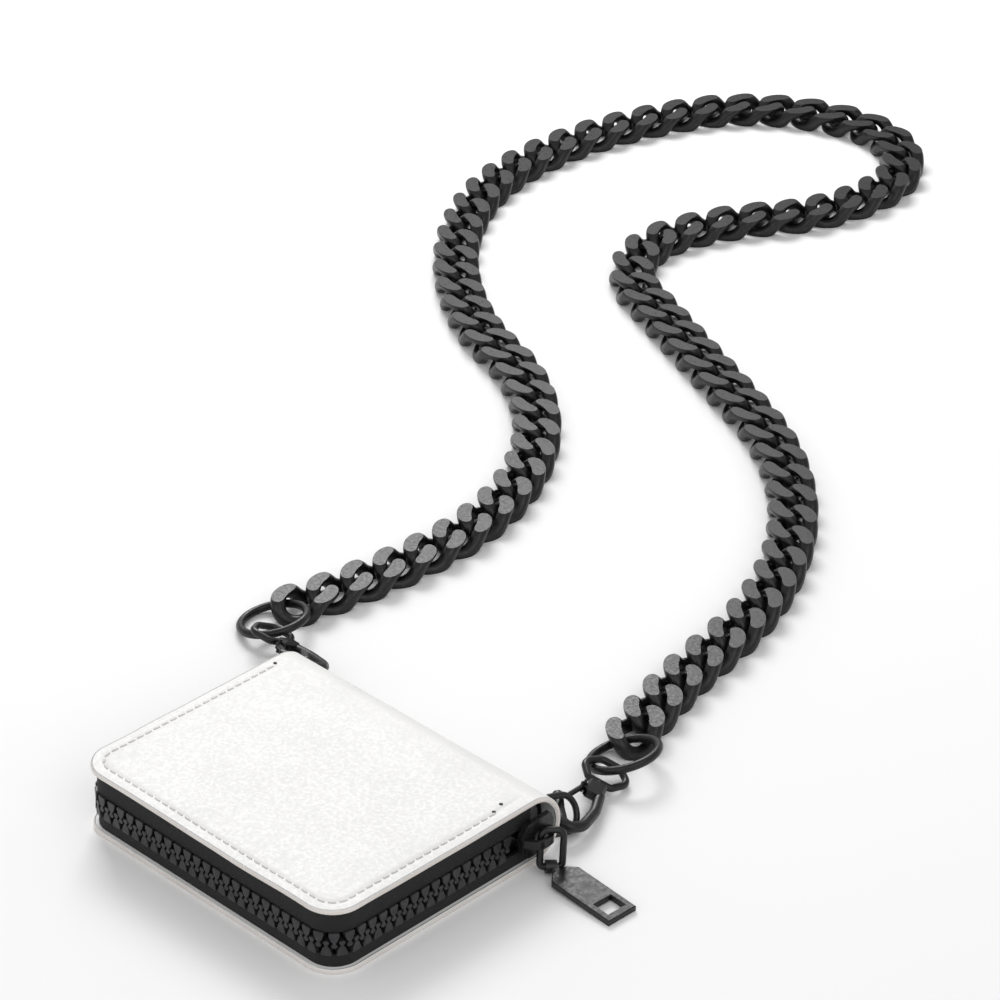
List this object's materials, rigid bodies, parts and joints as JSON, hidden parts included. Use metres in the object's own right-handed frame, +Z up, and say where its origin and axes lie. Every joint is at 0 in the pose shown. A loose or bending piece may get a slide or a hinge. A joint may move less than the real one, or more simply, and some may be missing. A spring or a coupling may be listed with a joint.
{
  "type": "chain wallet",
  "caption": "Zip-around leather wallet with a rolled spine, D-rings, snap hooks and a long curb chain.",
  "frame": {"origin": "centre of the flat face that the wallet rests on", "axes": "+X along the rolled spine, +Y from the zip edge to the spine, +Z up"},
  "size_m": [0.3433, 0.5009, 0.0215],
  "materials": {
    "white_leather": "smooth matte, soft grain",
    "black_lining": "fine twill",
    "black_tape": "woven zip tape",
    "grey_teeth": "satin gunmetal",
    "black_metal": "satin black"
  },
  "bodies": {
    "base": {"base_card_pocket_1": "black_lining", "base_card_pocket_2": "black_lining", "base_card_pocket_3": "black_lining", "base_leather": "white_leather", "base_lining": "black_lining", "chain_part_01": "black_metal", "chain_part_02": "black_metal", "chain_part_03": "black_metal", "chain_part_04": "black_metal", "chain_part_05": "black_metal", "chain_part_06": "black_metal", "chain_part_07": "black_metal", "chain_part_08": "black_metal", "chain_part_09": "black_metal", "chain_part_10": "black_metal", "chain_part_11": "black_metal", "chain_part_12": "black_metal", "dee_strap_left": "white_leather", "dee_strap_right": "white_leather", "jump_ring_left": "black_metal", "jump_ring_right": "black_metal", "swivel_eye_left": "black_metal", "swivel_eye_right": "black_metal", "zip_stop_closed": "black_metal", "zip_tape_low": "black_tape", "zip_teeth_low": "grey_teeth"},
    "cover": {"cover_card_pocket_1": "black_lining", "cover_card_pocket_2": "black_lining", "cover_card_pocket_3": "black_lining", "cover_leather": "white_leather", "cover_lining": "black_lining", "zip_tape_high": "black_tape", "zip_teeth_high": "grey_teeth"},
    "slider": {"slider_body": "black_metal"},
    "pull_loop": {"pull_loop": "black_metal"},
    "pull_tab": {"pull_tab": "black_metal"},
    "hook_right": {"hook_right": "black_metal", "gate_pin_right": "black_metal"},
    "hook_left": {"hook_left": "black_metal", "gate_pin_left": "black_metal"},
    "gate_right": {"gate_right": "black_metal"},
    "gate_left": {"gate_left": "black_metal"},
    "dee_right": {"dee_ring_right": "black_metal"},
    "dee_left": {"dee_ring_left": "black_metal"}
  },
  "joints": [
    {"name": "cover_hinge", "type": "hinge", "parent": "base", "child": "cover", "pos_m": [0, 0.04531, 0.01613], "axis": [-1, 0, 0], "range_deg": [0, 115]},
    {"name": "slider_run", "type": "slide", "parent": "base", "child": "slider", "axis": [0, -1, 0], "range_m": [0, 0.058]},
    {"name": "pull_loop_swing", "type": "hinge", "parent": "slider", "child": "pull_loop", "pos_m": [0.05536, 0.03521, 0.01111], "axis": [0, 0, 1], "range_deg": [-12, 6]},
    {"name": "pull_tab_lift", "type": "hinge", "parent": "pull_loop", "child": "pull_tab", "pos_m": [0.05849, 0.03602, 0.00252], "axis": [-0.6146, -0.7853, 0.0747], "range_deg": [0, 35]},
    {"name": "hook_swivel_right", "type": "hinge", "parent": "base", "child": "hook_right", "pos_m": [0.0435, 0.0696, 0.004], "axis": [0.4451, -0.895, 0.0284], "range_deg": [-2, 2]},
    {"name": "gate_spring_right", "type": "hinge", "parent": "hook_right", "child": "gate_right", "pos_m": [0.04072, 0.06781, 0.00521], "axis": [0.2943, 0.1762, 0.9393], "range_deg": [0, 22], "stiffness_Nm_per_rad": 0.002},
    {"name": "dee_swing_right", "type": "hinge", "parent": "base", "child": "dee_right", "pos_m": [0.046, 0.048, 0.0072], "axis": [-0.5071, 0.2741, 0.8172], "range_deg": [-2, 2]},
    {"name": "hook_swivel_left", "type": "hinge", "parent": "base", "child": "hook_left", "pos_m": [-0.0716, 0.0576, 0.00475], "axis": [0.9729, -0.1751, 0.1508], "range_deg": [-1, 2]},
    {"name": "gate_spring_left", "type": "hinge", "parent": "hook_left", "child": "gate_left", "pos_m": [-0.07199, 0.05445, 0.00627], "axis": [-0.0596, 0.4401, 0.8959], "range_deg": [0, 22], "stiffness_Nm_per_rad": 0.002},
    {"name": "dee_swing_left", "type": "hinge", "parent": "base", "child": "dee_left", "pos_m": [-0.0508, 0.0487, 0.0084], "axis": [-0.3541, -0.1601, 0.9214], "range_deg": [-0.5, 2]}
  ]
}
